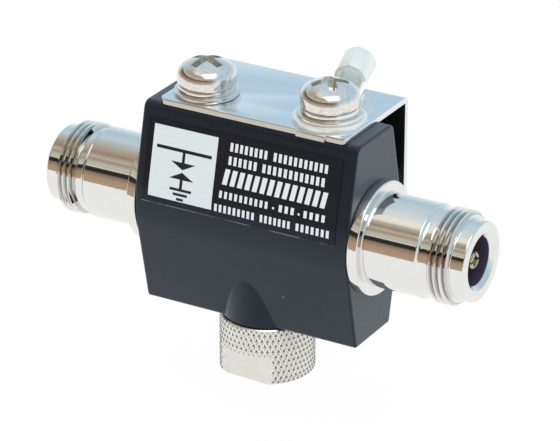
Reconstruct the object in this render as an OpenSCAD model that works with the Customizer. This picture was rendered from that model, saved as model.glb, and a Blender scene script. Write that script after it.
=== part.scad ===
// Coaxial lightning arrestor: a die-cast housing with a threaded jack at each end,
// a folded ground bracket held by two terminal screws, a ring terminal, and a screw
// cap that holds a gas discharge tube against the line. All sizes are in millimetres.
// The origin is the centre of the cap's end face, +X runs along the line and -Y faces
// the label side.

/* [Housing] */
// Length of the housing along the line
housing_l = 40.1; // [38:0.1:46]
// Height of the housing
housing_h = 35.8; // [35:0.1:40]
// Thickness across the top face
housing_top_t = 11.9; // [11:0.1:14]
// Thickness at the crease before it is rounded
housing_mid_t = 19.8; // [19.4:0.1:23]
// Thickness across the bottom face
housing_bottom_t = 11.6; // [10:0.1:14]
// Height of the jack axis above the housing's bottom face
axis_above_bottom = 18.05; // [17:0.05:19]
// Height of the crease above the jack axis
crease_above_axis = 0.7; // [-2:0.1:3]
// Radius that rounds the crease
crease_r = 20; // [8:0.5:26]
// Radius of the long edges at the top
top_edge_r = 1.5; // [0.6:0.1:2.5]
// Radius of the long edges at the bottom
bottom_edge_r = 0.6; // [0.5:0.1:2]
// Radius of the edges round the two end faces
end_edge_r = 0.4; // [0.2:0.1:0.5]
// Diameter of the boss round the cap's thread
boss_d = 15.2; // [14.4:0.1:16]
// Diameter of the line cavity
cavity_d = 11; // [10.4:0.1:12]

/* [Label] */
// Width of the film label
label_w = 36.4; // [20:0.1:37]
// Thickness of the film
label_t = 0.12; // [0.05:0.01:0.3]
// Offset of the label's middle along the line
label_shift = -0.4; // [-0.8:0.1:0.8]
// Height of the label's lower edge above the jack axis
label_low = 1.4; // [1:0.1:6]
// Height of the label's upper edge above the jack axis
label_high = 15.4; // [9:0.1:15.6]
// Glue line under the film
label_glue = 0.01; // [0.01:0.01:0.05]

/* [Jacks] */
// Diameter of the flange that seats on the housing's end
flange_d = 19.2; // [17:0.1:21]
// Thickness of the flange
flange_t = 1.75; // [1:0.05:3]
// Diameter of the plain body
jack_body_d = 15.8; // [15.2:0.1:16.4]
// Length of the plain body
jack_body_l = 9.55; // [7:0.05:14]
// Diameter of the thread relief
relief_d = 14.7; // [14:0.1:15]
// Length of the thread relief
relief_l = 1.85; // [1:0.05:4]
// Outer diameter of the coupling thread
thread_d = 15.875; // [15.5:0.025:16.2]
// Length of the coupling thread with its chamfers
thread_l = 3.9; // [3:0.1:9]
// Diameter of the lip in front of the thread
lip_d = 13.5; // [12.5:0.1:14]
// Length of the lip
lip_l = 2.4; // [1.5:0.1:4]
// Diameter of the socket bore
bore_d = 8.1; // [7.6:0.05:8.6]
// Chamfer at the mouth of the socket bore
mouth_chamfer = 0.45; // [0.2:0.05:0.8]
// Chamfer on the turned edges
turned_edge = 0.25; // [0.1:0.05:0.4]
// Depth of the socket from the lip to the insulator
socket_depth = 9; // [7:0.1:12]
// Diameter of the shank inside the housing
shank_d = 13; // [12.6:0.1:13.6]
// Length of the shank inside the housing
shank_l = 9; // [6:0.1:9.4]

/* [Line] */
// Diameter of the insulator bead
bead_d = 10; // [9:0.1:10.2]
// Length of the insulator bead
bead_l = 10; // [6:0.1:14]
// Diameter of the centre socket
contact_d = 3; // [2.8:0.1:3.4]
// Diameter of the pin hole in the centre socket
pin_hole_d = 1.65; // [1.4:0.05:1.9]
// Depth of the pin hole
pin_hole_l = 6; // [4:0.1:7]
// Width of the slots between the socket's fingers
finger_slot_w = 0.35; // [0.2:0.05:0.5]
// Length of the slots between the socket's fingers
finger_slot_l = 5; // [3:0.1:6]
// Distance of the socket's tip behind the lip
contact_recess = 1.1; // [0.5:0.1:3]
// Diameter of the stem behind the socket
stem_d = 2.4; // [1.8:0.1:2.6]
// Diameter of the conductor between the contacts
conductor_d = 4.4; // [4:0.1:5]
// Length of the conductor
conductor_l = 24; // [20:0.1:28]
// Depth of the stem's seat in the conductor's end
stem_seat_l = 4; // [3:0.1:5]
// Length of the milled seat for the gas tube
tube_seat_l = 9; // [8.5:0.1:11]
// Distance of the milled seat below the jack axis
tube_seat_drop = 1.6; // [1.4:0.1:1.9]

/* [Gas tube] */
// Diameter of the electrodes
electrode_d = 8; // [7.4:0.1:8.4]
// Thickness of each electrode
electrode_t = 0.9; // [0.6:0.1:1.5]
// Diameter of the ceramic sleeve
ceramic_d = 7.6; // [7:0.1:8]
// Length of the ceramic sleeve
ceramic_l = 4.6; // [3.5:0.1:5]
// Radial room round the tube in its chamber
tube_room = 0.6; // [0.3:0.1:0.8]
// Outer diameter of the contact spring
spring_d = 6.6; // [6:0.1:7]
// Diameter of the spring's wire
spring_wire = 0.7; // [0.5:0.05:0.8]
// Turns of the spring
spring_turns = 5; // [4:1:6]

/* [Screw cap] */
// Diameter of the knurled head
cap_d = 16.2; // [15.4:0.1:17]
// Height of the knurled head
cap_head_h = 10.2; // [9:0.1:12]
// Gap between the head and the boss, filled by the seal
cap_gap = 0.3; // [0.2:0.05:1]
// Distance across the two wrench flats
cap_flats = 12.5; // [12:0.1:14]
// Turn of the wrench flats when the cap is closed
cap_flats_turn = -3; // [-45:1:45]
// Height of the wrench flats
cap_flat_h = 5.4; // [4:0.1:7]
// Chamfer on the head's rims
cap_edge = 0.4; // [0.2:0.05:0.8]
// Diameter of the threaded neck
neck_d = 11; // [10.6:0.1:11.4]
// Length of the threaded neck above the head
neck_l = 8.5; // [7:0.1:9]
// Diameter of the cup that holds the spring
cup_d = 7.8; // [7.4:0.1:8.2]
// Depth of the cup in the neck
cup_l = 6.2; // [5:0.1:8]
// Radial clearance of the neck's thread in the boss
neck_clear = 0.06; // [0.02:0.01:0.1]
// Outer diameter of the seal
seal_d = 14.2; // [13.4:0.1:15]
// Room between the seal and the boss
seal_clear = 0.02; // [0.01:0.01:0.05]

/* [Ground bracket] */
// Width of the bracket
bracket_w = 35; // [32:0.1:38]
// Offset of the bracket's middle along the line
bracket_shift = 0.3; // [-0.6:0.1:0.6]
// Thickness of the sheet
bracket_t = 1; // [0.8:0.1:1.6]
// Distance of the front edge from the screw row
bracket_front = 6; // [5.5:0.1:8]
// Distance of the leg's outer face from the screw row
bracket_back = 15.3; // [14:0.1:20]
// Outer radius of the fold
fold_r = 1.2; // [1.1:0.1:3]
// Length of the leg from the plate's upper face
leg_l = 28; // [22:0.5:38]
// Radius of the sheet's corners
sheet_corner_r = 1.3; // [0.5:0.1:3]
// Width of the tab on the front edge
tab_w = 5.3; // [3:0.1:8]
// Reach of the tab in front of the edge
tab_reach = 0.6; // [0.2:0.1:1]
// Spacing of the two mounting holes in the leg
leg_hole_spacing = 24; // [16:0.5:26]
// Diameter of the mounting holes
leg_hole_d = 5.5; // [4:0.1:6.5]
// Height of the mounting holes above the leg's lower end
leg_hole_rise = 6; // [5:0.1:10]

/* [Terminal screws] */
// Spacing of the two terminal screws
screw_spacing = 23.1; // [21:0.1:25]
// Diameter of the screw's shank
screw_d = 5; // [4.6:0.1:5.2]
// Length of the screw under its head
screw_l = 12; // [11:0.1:12.5]
// Diameter of the pan head
head_d = 9.9; // [8.6:0.1:10.4]
// Height of the pan head
head_h = 4.35; // [3.6:0.05:4.8]
// Radius of the head's crown
crown_r = 7.5; // [6.5:0.1:12]
// Radius that rounds the head's shoulder into the crown
head_round = 2.2; // [1.4:0.1:2.4]
// Span of the cross recess at the top of the head
recess_span = 7.6; // [5:0.1:8]
// Span of the cross recess at its floor
recess_floor = 4.6; // [3:0.1:5]
// Width of the recess's arms
recess_w = 1.8; // [0.9:0.1:2.2]
// Depth of the cross recess
recess_l = 2.3; // [1.6:0.1:2.6]
// Turn of the left screw's cross recess about its axis
left_recess_turn = 75; // [0:1:90]
// Turn of the right screw's cross recess about its axis
right_recess_turn = 41; // [0:1:90]
// Outer diameter of the spring washer
spring_washer_d = 9.7; // [8.6:0.1:10.2]
// Thickness of the spring washer
spring_washer_t = 0.95; // [0.7:0.05:1.4]
// Width of the spring washer's split
washer_split = 0.5; // [0.3:0.1:1]
// Outer diameter of the flat washer
flat_washer_d = 10.9; // [10.2:0.1:11.4]
// Thickness of the flat washer
flat_washer_t = 0.75; // [0.5:0.05:1.2]
// Radial clearance of the shank in its tapped hole
tap_clear = 0.05; // [0.02:0.01:0.1]
// Radial clearance of the shank in the washers
washer_clear = 0.1; // [0.06:0.01:0.2]
// Radial clearance of the shank in the bracket and the terminal
hole_clear = 0.25; // [0.1:0.05:0.4]
// Room past the end of a threaded piece in its hole
tap_room = 0.5; // [0.3:0.1:0.8]

/* [Ring terminal] */
// Outer diameter of the ring
ring_d = 12.1; // [11.6:0.1:13]
// Thickness of the ring and its tongue
ring_t = 0.9; // [0.7:0.05:1.1]
// Width of the tongue where it leaves the ring
tongue_w = 8; // [6.5:0.1:9]
// Distance from the screw's axis to the bend in the tongue
bend_reach = 10.4; // [8.4:0.1:11]
// Outer diameter of the crimp barrel
barrel_d = 5.5; // [5:0.1:6]
// Wall of the crimp barrel
barrel_wall = 0.9; // [0.7:0.05:1.1]
// Length of the crimp barrel
barrel_l = 5.3; // [4.5:0.1:8]
// Distance from the bend to the barrel's near end
barrel_start = 1; // [0.6:0.1:3]
// Length of the open walls in front of the barrel
shoulder_l = 2.6; // [1:0.1:2.8]
// Wall of the open shoulder at its end by the ring
shoulder_wall = 0.6; // [0.5:0.05:0.85]
// Upward bend of the barrel
barrel_tilt = 15; // [5:1:30]
// Turn of the terminal away from straight back
terminal_turn = 11; // [0:0.5:20]
// Radius of the brazed seam along the barrel
seam_r = 0.35; // [0.2:0.05:0.5]

/* [Fits] */
// Clearance round pieces that are pressed or soldered in place
seat_clear = 0.02; // [0.01:0.01:0.05]

/* [Hidden] */
$fn = 96;
arc_steps = 10;
edge_steps = 3;
wire_sides = 8;
wire_rings_per_turn = 14;
// Reach of a cutting shape past the face that it opens
cut = 1;

// Heights
housing_bottom_z = cap_head_h + cap_gap;
axis_z = housing_bottom_z + axis_above_bottom;
housing_top_z = housing_bottom_z + housing_h;
crease_z = axis_z + crease_above_axis;
plate_top_z = housing_top_z + bracket_t;
tube_top_z = axis_z - tube_seat_drop;
tube_bottom_z = tube_top_z - 2 * electrode_t - ceramic_l;
neck_top_z = cap_head_h + neck_l;
cup_floor_z = neck_top_z - cup_l;
leg_bottom_z = plate_top_z - leg_l;

// Stations along the line, from the middle to a jack's lip
housing_end = housing_l / 2;
shank_rear = housing_end - shank_l;
flange_front = housing_end + flange_t;
body_front = flange_front + jack_body_l;
thread_rear = body_front + relief_l;
thread_front = thread_rear + thread_l;
lip_front = thread_front + lip_l;
bead_front = lip_front - socket_depth;
contact_tip = lip_front - contact_recess;
stem_rear = conductor_l / 2 - stem_seat_l;

// Heights of the terminal screws' pieces above the bracket's plate
left_stack_z = plate_top_z;
right_stack_z = plate_top_z + ring_t;
washers_t = flat_washer_t + spring_washer_t;
tap_l = screw_l - washers_t - bracket_t + tap_room;

// Outline of the housing across the line, as points across and up
housing_corners = [
    [housing_bottom_t / 2, housing_bottom_z], [housing_mid_t / 2, crease_z],
    [housing_top_t / 2, housing_top_z], [-housing_top_t / 2, housing_top_z],
    [-housing_mid_t / 2, crease_z], [-housing_bottom_t / 2, housing_bottom_z]
];
housing_radii = [bottom_edge_r, crease_r, top_edge_r, top_edge_r, crease_r, bottom_edge_r];

function unit(v) = v / norm(v);
function toward(angle) = [cos(angle), sin(angle)];
function half_angle(before, corner, after) = acos(unit(before - corner) * unit(after - corner)) / 2;
function arc_centre(before, corner, after, r) =
    corner + unit(unit(before - corner) + unit(after - corner)) * r / sin(half_angle(before, corner, after));
function arc_start(before, corner, after, r) =
    corner + unit(before - corner) * r / tan(half_angle(before, corner, after));
function corner_arc(before, corner, after, r) =
    let (
        centre = arc_centre(before, corner, after, r),
        start = arc_start(before, corner, after, r) - centre,
        from = atan2(start.y, start.x),
        turn = 180 - 2 * half_angle(before, corner, after)
    )
    [for (k = [0:arc_steps]) centre + r * toward(from + turn * k / arc_steps)];
function rounded(points, radii) =
    let (n = len(points))
    [for (i = [0:n - 1]) each corner_arc(points[(i + n - 1) % n], points[i], points[(i + 1) % n], radii[i])];
function reversed(points) = [for (i = [len(points) - 1:-1:0]) points[i]];

// Front face of the housing, from the label's upper edge over the crease to its lower edge
front_corner = [housing_corners[3], housing_corners[4], housing_corners[5]];
front_centre = arc_centre(front_corner[0], front_corner[1], front_corner[2], crease_r);
front_tangent = arc_start(front_corner[0], front_corner[1], front_corner[2], crease_r);
front_normal = unit(front_tangent - front_centre);
front_up = unit(front_corner[0] - front_corner[1]);
label_top = front_tangent + front_up * (axis_z + label_high - front_tangent.y) / front_up.y;
label_from = atan2(front_normal.y, front_normal.x);
label_to = 180 - asin((axis_z + label_low - front_centre.y) / crease_r);
function label_side(lift) = concat(
    [label_top + front_normal * lift],
    [for (k = [0:arc_steps])
        front_centre + (crease_r + lift) * toward(label_from + (label_to - label_from) * k / arc_steps)]
);

// Places its children on the jack axis with their +Z along the line
module on_line() translate([0, 0, axis_z]) rotate([0, 90, 0]) children();
// Turns an outline drawn across and up into a bar of length l along the line
module along_line(l) rotate([90, 0, 90]) linear_extrude(l, center = true) children();
// Places its children on the left or right screw's axis
module at_left_screw(z) translate([-screw_spacing / 2, 0, z]) children();
module at_right_screw(z) translate([screw_spacing / 2, 0, z]) children();
module ring(outer_d, inner_d, t) difference() {
    cylinder(d = outer_d, h = t);
    translate([0, 0, -cut]) cylinder(d = inner_d, h = t + 2 * cut);
}

// Block of the casting, with its end edges rounded
module housing_block() hull() for (k = [0:edge_steps]) {
    angle = 90 * k / edge_steps;
    along_line(housing_l - 2 * end_edge_r * (1 - cos(angle)))
        offset(delta = -end_edge_r * (1 - sin(angle)))
            polygon(rounded(housing_corners, housing_radii));
}

module housing() color("#23262b") difference() {
    union() {
        housing_block();
        translate([0, 0, housing_bottom_z]) cylinder(d = boss_d, h = axis_above_bottom);
    }
    on_line() cylinder(d = cavity_d, h = housing_l, center = true);
    for (side = [-1, 1]) on_line()
        translate([0, 0, side * (shank_rear + (shank_l + cut) / 2)])
            cylinder(d = shank_d + 2 * seat_clear, h = shank_l + cut, center = true);
    translate([0, 0, housing_bottom_z]) cylinder(d = electrode_d + 2 * tube_room, h = axis_above_bottom);
    translate([0, 0, housing_bottom_z - cut])
        cylinder(d = neck_d + 2 * neck_clear, h = neck_l - cap_gap + tap_room + cut);
    for (side = [-1, 1]) translate([side * screw_spacing / 2, 0, housing_top_z - tap_l])
        cylinder(d = screw_d + 2 * tap_clear, h = tap_l + cut);
}

module front_label() color("#1c1e26") translate([label_shift, 0, 0]) along_line(label_w)
    polygon(concat(label_side(label_glue), reversed(label_side(label_glue + label_t))));

// Turned outline of a jack, as points out from the axis and along the line
jack_outline = [
    [bead_d / 2 + seat_clear, shank_rear], [shank_d / 2, shank_rear], [shank_d / 2, housing_end],
    [flange_d / 2, housing_end], [flange_d / 2, flange_front - turned_edge],
    [flange_d / 2 - turned_edge, flange_front], [jack_body_d / 2, flange_front],
    [jack_body_d / 2, body_front - turned_edge], [jack_body_d / 2 - turned_edge, body_front],
    [relief_d / 2, body_front], [relief_d / 2, thread_rear],
    [thread_d / 2, thread_rear + (thread_d - relief_d) / 2],
    [thread_d / 2, thread_front - 2 * turned_edge], [thread_d / 2 - 2 * turned_edge, thread_front],
    [lip_d / 2, thread_front], [lip_d / 2, lip_front - turned_edge],
    [lip_d / 2 - turned_edge, lip_front], [bore_d / 2 + mouth_chamfer, lip_front],
    [bore_d / 2, lip_front - mouth_chamfer], [bore_d / 2, bead_front],
    [bead_d / 2 + seat_clear, bead_front]
];
module jack() color("#d9d4c8") on_line() rotate_extrude() polygon(jack_outline);
module right_jack() jack();
module left_jack() mirror([1, 0, 0]) jack();

module insulator() color("#2b2b30") on_line() translate([0, 0, bead_front - bead_l])
    ring(bead_d, stem_d + 2 * seat_clear, bead_l);
module right_insulator() insulator();
module left_insulator() mirror([1, 0, 0]) insulator();

module contact() color("#d8cfae") on_line() difference() {
    rotate_extrude() polygon([
        [0, stem_rear], [stem_d / 2, stem_rear], [stem_d / 2, bead_front], [contact_d / 2, bead_front],
        [contact_d / 2, contact_tip - turned_edge], [contact_d / 2 - turned_edge, contact_tip],
        [pin_hole_d / 2, contact_tip], [pin_hole_d / 2, contact_tip - pin_hole_l],
        [0, contact_tip - pin_hole_l]
    ]);
    for (turn = [0, 90]) rotate([0, 0, turn])
        translate([-contact_d, -finger_slot_w / 2, contact_tip - finger_slot_l])
            cube([2 * contact_d, finger_slot_w, finger_slot_l + cut]);
}
module right_contact() contact();
module left_contact() mirror([1, 0, 0]) contact();

module center_conductor() color("#c9a55c") difference() {
    on_line() cylinder(d = conductor_d, h = conductor_l, center = true);
    for (side = [-1, 1]) on_line()
        translate([0, 0, side * (conductor_l - stem_seat_l + cut) / 2])
            cylinder(d = stem_d + 2 * seat_clear, h = stem_seat_l + cut, center = true);
    translate([-tube_seat_l / 2, -conductor_d, tube_top_z - conductor_d])
        cube([tube_seat_l, 2 * conductor_d, conductor_d]);
}

module electrode(z) color("#c4c6c8") translate([0, 0, z]) cylinder(d = electrode_d, h = electrode_t);
module gas_tube_upper_electrode() electrode(tube_top_z - electrode_t);
module gas_tube_lower_electrode() electrode(tube_bottom_z);
module gas_tube_ceramic() color("#efece4")
    translate([0, 0, tube_bottom_z + electrode_t]) cylinder(d = ceramic_d, h = ceramic_l);

// Coil of round wire from the cup's floor to the tube's lower electrode
spring_r = (spring_d - spring_wire) / 2;
spring_rings = spring_turns * wire_rings_per_turn;
spring_low = cup_floor_z + spring_wire / 2 + seat_clear;
spring_rise = tube_bottom_z - cup_floor_z - spring_wire - 2 * seat_clear;
function wire_ring(i) =
    let (turn = 360 * i / wire_rings_per_turn, z = spring_low + spring_rise * i / spring_rings)
    [for (k = [0:wire_sides - 1])
        let (a = 360 * k / wire_sides, r = spring_r + spring_wire / 2 * cos(a))
        [r * cos(turn), r * sin(turn), z + spring_wire / 2 * sin(a)]];
function wire_faces() = concat(
    [[for (k = [wire_sides - 1:-1:0]) k]],
    [for (i = [0:spring_rings - 1], k = [0:wire_sides - 1])
        let (low = i * wire_sides, high = low + wire_sides, next = (k + 1) % wire_sides)
        [low + k, low + next, high + next, high + k]],
    [[for (k = [0:wire_sides - 1]) spring_rings * wire_sides + k]]
);
module tube_spring() color("#b9bcbf")
    polyhedron([for (i = [0:spring_rings]) each wire_ring(i)], wire_faces());

module screw_cap() color("#dcd8cd") difference() {
    rotate_extrude() polygon([
        [0, 0], [cap_d / 2 - cap_edge, 0], [cap_d / 2, cap_edge], [cap_d / 2, cap_head_h - cap_edge],
        [cap_d / 2 - cap_edge, cap_head_h], [neck_d / 2, cap_head_h],
        [neck_d / 2, neck_top_z - turned_edge], [neck_d / 2 - turned_edge, neck_top_z],
        [cup_d / 2, neck_top_z], [cup_d / 2, cup_floor_z], [0, cup_floor_z]
    ]);
    for (turn = [0, 180]) rotate([0, 0, cap_flats_turn + turn]) translate([-cap_d, cap_flats / 2, -cut])
        cube([2 * cap_d, cap_d, cap_flat_h + cut]);
}

module cap_seal() color("#15161a") translate([0, 0, cap_head_h])
    ring(seal_d, neck_d + 2 * seat_clear, cap_gap - seal_clear);

// Sheet outline from y = 0 to y = l, with its two corners at y = 0 rounded
module sheet_outline(w, l) {
    translate([-w / 2, sheet_corner_r]) square([w, l - sheet_corner_r]);
    translate([-w / 2 + sheet_corner_r, 0]) square([w - 2 * sheet_corner_r, l]);
    for (side = [-1, 1]) translate([side * (w / 2 - sheet_corner_r), sheet_corner_r]) circle(sheet_corner_r);
}

fold_y = bracket_back - fold_r;
fold_z = plate_top_z - fold_r;
module bracket_sheet() {
    translate([bracket_shift, -bracket_front, housing_top_z]) linear_extrude(bracket_t)
        sheet_outline(bracket_w, bracket_front + fold_y);
    translate([screw_spacing / 2 - tab_w / 2, -bracket_front - tab_reach, housing_top_z])
        cube([tab_w, tab_reach + sheet_corner_r, bracket_t]);
    translate([bracket_shift - bracket_w / 2, fold_y, fold_z]) rotate([90, 0, 90])
        rotate_extrude(angle = 90) translate([fold_r - bracket_t, 0]) square([bracket_t, bracket_w]);
    translate([bracket_shift, bracket_back, leg_bottom_z]) rotate([90, 0, 0]) linear_extrude(bracket_t)
        sheet_outline(bracket_w, fold_z - leg_bottom_z);
}
module ground_bracket() color("#c8cdd2") difference() {
    bracket_sheet();
    for (side = [-1, 1]) {
        translate([side * screw_spacing / 2, 0, housing_top_z - cut])
            cylinder(d = screw_d + 2 * hole_clear, h = bracket_t + 2 * cut);
        translate([bracket_shift + side * leg_hole_spacing / 2, bracket_back + cut, leg_bottom_z + leg_hole_rise])
            rotate([90, 0, 0]) cylinder(d = leg_hole_d, h = bracket_t + 2 * cut);
    }
}

// Half section of the pan head, whose shoulder runs smoothly into its crown
shoulder_x = head_d / 2 - head_round;
shoulder_z = head_h - crown_r + sqrt(pow(crown_r - head_round, 2) - pow(shoulder_x, 2));
crown_edge_x = shoulder_x * crown_r / (crown_r - head_round);
module head_section() intersection() {
    square([head_d / 2, head_h]);
    union() {
        square([head_d / 2, shoulder_z]);
        translate([shoulder_x, shoulder_z]) circle(head_round);
        intersection() {
            square([crown_edge_x, head_h]);
            translate([0, head_h - crown_r]) circle(crown_r);
        }
    }
}
module cross_recess(start_turn) intersection() {
    cylinder(d1 = recess_floor, d2 = recess_span, h = recess_l);
    for (turn = [0, 90]) rotate([0, 0, start_turn + turn])
        translate([-recess_span / 2, -recess_w / 2, 0]) cube([recess_span, recess_w, recess_l + cut]);
}
module pan_screw(recess_turn) color("#d5d3cc") difference() {
    union() {
        rotate_extrude() head_section();
        translate([0, 0, -screw_l]) cylinder(d = screw_d, h = screw_l + head_h / 4);
    }
    translate([0, 0, head_h - recess_l]) cross_recess(recess_turn);
    translate([0, 0, head_h]) cylinder(d = recess_span, h = cut);
}
module left_screw() at_left_screw(left_stack_z + washers_t) pan_screw(left_recess_turn);
module right_screw() at_right_screw(right_stack_z + washers_t) pan_screw(right_recess_turn);

module spring_washer() color("#d0cfc8") difference() {
    ring(spring_washer_d, screw_d + 2 * washer_clear, spring_washer_t);
    translate([-washer_split / 2, 0, -cut]) cube([washer_split, spring_washer_d, spring_washer_t + 2 * cut]);
}
module left_spring_washer() at_left_screw(left_stack_z + flat_washer_t) spring_washer();
module right_spring_washer() at_right_screw(right_stack_z + flat_washer_t) spring_washer();

module flat_washer() color("#d3d1c9") ring(flat_washer_d, screw_d + 2 * washer_clear, flat_washer_t);
module left_flat_washer() at_left_screw(left_stack_z) flat_washer();
module right_flat_washer() at_right_screw(right_stack_z) flat_washer();

// Tube along +Y from y = start, resting on the tongue's underside
module barrel_tube(start, l, near_wall, far_wall) translate([0, start, barrel_d / 2]) rotate([-90, 0, 0])
    difference() {
        cylinder(d = barrel_d, h = l);
        translate([0, 0, -cut])
            cylinder(d1 = barrel_d - 2 * near_wall, d2 = barrel_d - 2 * far_wall, h = l + 2 * cut);
    }
// Barrel of the terminal, running along +Y from the bend, with open walls in front of it
module crimp_barrel() {
    barrel_tube(barrel_start, barrel_l, barrel_wall, barrel_wall);
    difference() {
        barrel_tube(-shoulder_l, shoulder_l + barrel_start, shoulder_wall, barrel_wall);
        rotate([90, 0, 90]) linear_extrude(2 * barrel_d, center = true) polygon([
            [-shoulder_l - cut, ring_t], [-shoulder_l, ring_t], [barrel_start, barrel_d / 2],
            [barrel_start + cut, barrel_d / 2], [barrel_start + cut, 2 * barrel_d], [-shoulder_l - cut, 2 * barrel_d]
        ]);
    }
}
module brazed_seam() translate([0, barrel_start, barrel_d - seam_r / 2]) rotate([-90, 0, 0])
    cylinder(r = seam_r, h = barrel_l);
module terminal_tongue() linear_extrude(ring_t) difference() {
    union() {
        circle(d = ring_d);
        polygon([
            [-tongue_w / 2, 0], [tongue_w / 2, 0], [barrel_d / 2, bend_reach], [-barrel_d / 2, bend_reach]
        ]);
    }
    circle(d = screw_d + 2 * hole_clear);
}
module ring_terminal() color("#dfe2df") at_right_screw(plate_top_z) rotate([0, 0, terminal_turn]) {
    terminal_tongue();
    intersection() {
        translate([0, bend_reach, 0]) rotate([barrel_tilt, 0, 0]) {
            crimp_barrel();
            brazed_seam();
        }
        translate([-ring_d, ring_d / 2, 0]) cube(2 * ring_d);
    }
}

housing();
front_label();
left_jack();
right_jack();
left_insulator();
right_insulator();
left_contact();
right_contact();
center_conductor();
gas_tube_upper_electrode();
gas_tube_ceramic();
gas_tube_lower_electrode();
tube_spring();
screw_cap();
cap_seal();
ground_bracket();
left_screw();
right_screw();
left_spring_washer();
right_spring_washer();
left_flat_washer();
right_flat_washer();
ring_terminal();
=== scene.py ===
"""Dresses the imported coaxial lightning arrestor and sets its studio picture.

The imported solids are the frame. Threads, knurl, print and finishes are added here, and every
new piece rides on the body that carries it. Sizes are written in millimetres and turned into
metres where a mesh is made.
"""

from __future__ import annotations

import logging
import math
from collections import Counter
from dataclasses import dataclass
from enum import Enum
from typing import Any, Callable, Sequence

import bpy
from mathutils import Matrix, Vector

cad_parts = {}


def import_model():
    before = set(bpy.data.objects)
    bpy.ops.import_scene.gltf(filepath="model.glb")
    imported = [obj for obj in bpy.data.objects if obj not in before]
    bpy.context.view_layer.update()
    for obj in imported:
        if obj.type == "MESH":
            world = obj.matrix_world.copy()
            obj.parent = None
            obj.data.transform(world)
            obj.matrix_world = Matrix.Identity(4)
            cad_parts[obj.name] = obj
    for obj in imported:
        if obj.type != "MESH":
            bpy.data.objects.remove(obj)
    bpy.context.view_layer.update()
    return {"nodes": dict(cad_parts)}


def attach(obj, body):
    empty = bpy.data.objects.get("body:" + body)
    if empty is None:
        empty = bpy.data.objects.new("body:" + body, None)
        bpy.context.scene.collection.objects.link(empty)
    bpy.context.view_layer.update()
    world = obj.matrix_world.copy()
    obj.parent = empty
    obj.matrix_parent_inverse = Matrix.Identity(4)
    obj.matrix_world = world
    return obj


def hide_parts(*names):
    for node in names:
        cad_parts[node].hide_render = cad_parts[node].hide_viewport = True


LOG = logging.getLogger("arrestor")
MM = 0.001
Span = tuple[float, float]
Triple = tuple[float, float, float]
Runs = tuple[float, float, float, float]
Colour = Triple
Outline = Sequence[Triple]
Piece = bpy.types.Object
Socket = bpy.types.NodeSocket
# Height of the jacks' axis
AXIS_Z = 28.55
# Tool marks that change as often in every direction, per metre
SPECKLED = (2200.0, 2200.0, 2200.0)
# Steps in a turn of a thread and its lead in radians, which keep its points off those of its core
RIDGE_STEPS = 71
RIDGE_LEAD = 0.023
# Half the width of a thread's ridge at its foot and at its crest, in pitches
RIDGE_FOOT = 0.44
RIDGE_CREST = 0.09
# How far a ridge's foot is sunk below its root
RIDGE_SUNK = 0.25
# Distance under which points are merged, and lengths under which an edge counts as level or upright
MERGE_GAP = 0.002
LEVEL_GAP = 0.01
# Faces that meet at less than this are one face, are shaded smooth, or keep their edge, in degrees
FLAT_DEGREES = 0.4
CREASE_DEGREES = 32.0
SHARP_DEGREES = 40.0
# Straight steps in a rounded corner, and round a turned piece
CORNER_STEPS = 5
TURN_STEPS = 128
# A face whose normal has less than this along Z looks down
DOWNWARD = -0.9
# How much finer than its patches a moulded surface's grain is
GRAIN_FINENESS = 6.0


class Join(Enum):
    """How one solid is set against another."""

    ADD = "UNION"
    CUT = "DIFFERENCE"
    KEEP = "INTERSECT"


class Kind(Enum):
    """What is selected in a mesh: Blender's name for it, and the mesh's list of it."""

    EDGE = ("EDGE", "edges")
    FACE = ("FACE", "polygons")


class Lie(Enum):
    """Which way a turned piece lies."""

    LINE = "X"
    UPRIGHT = "Z"


@dataclass(frozen=True)
class Spindle:
    """The axis that a piece is turned about.

    Attributes:
        lie: Which way the axis runs.
        centre: A point on the axis, in millimetres.
    """

    lie: Lie
    centre: Triple

    def place(self, out: float, along: float) -> Vector:
        """Gives a point of an outline, about the origin.

        Args:
            out: Distance out from the axis, in millimetres.
            along: Distance along the axis, in millimetres.

        Returns:
            The point in metres.
        """
        if self.lie is Lie.LINE:
            return Vector((along, 0.0, out)) * MM
        return Vector((out, 0.0, along)) * MM

    def way(self) -> Vector:
        """Gives the axis's direction."""
        return Vector((1.0, 0.0, 0.0)) if self.lie is Lie.LINE else Vector((0.0, 0.0, 1.0))


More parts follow.
